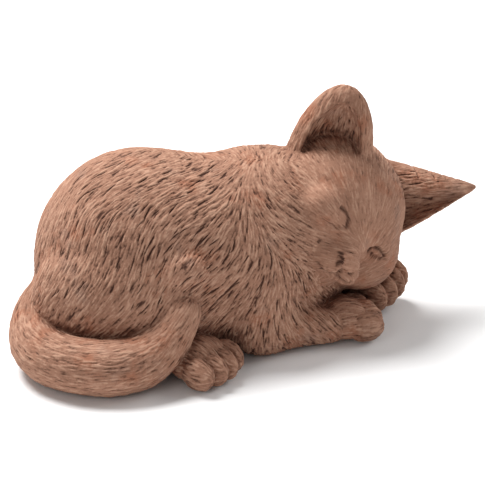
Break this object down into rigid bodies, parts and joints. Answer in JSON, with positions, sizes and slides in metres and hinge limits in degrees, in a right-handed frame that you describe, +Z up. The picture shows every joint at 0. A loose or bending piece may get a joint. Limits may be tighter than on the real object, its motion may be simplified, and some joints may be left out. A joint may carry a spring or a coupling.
{
  "type": "ceramic cat figurine",
  "caption": "Free-standing sleeping cat figurine in unglazed terracotta, hollow body and head, curled tail, resting on a flat base.",
  "frame": {"origin": "middle of the figurine's box at the level it stands on", "axes": "+X from the rump to the head, +Y to the cat's left side, +Z up"},
  "size_m": [0.323, 0.1882, 0.1747],
  "materials": {
    "terracotta": "unglazed matte fired clay, incised fur",
    "terracotta_base": "unglazed matte fired clay, smooth cut face"
  },
  "bodies": {
    "root": {"torso_shell": "terracotta", "base_slab": "terracotta_base", "head_shell": "terracotta", "right_ear": "terracotta", "left_ear": "terracotta", "tail": "terracotta", "right_haunch": "terracotta", "left_haunch": "terracotta", "right_foreleg": "terracotta", "left_foreleg": "terracotta", "right_forepaw": "terracotta", "left_forepaw": "terracotta", "right_hind_paw": "terracotta", "left_hind_paw": "terracotta"}
  },
  "joints": []
}
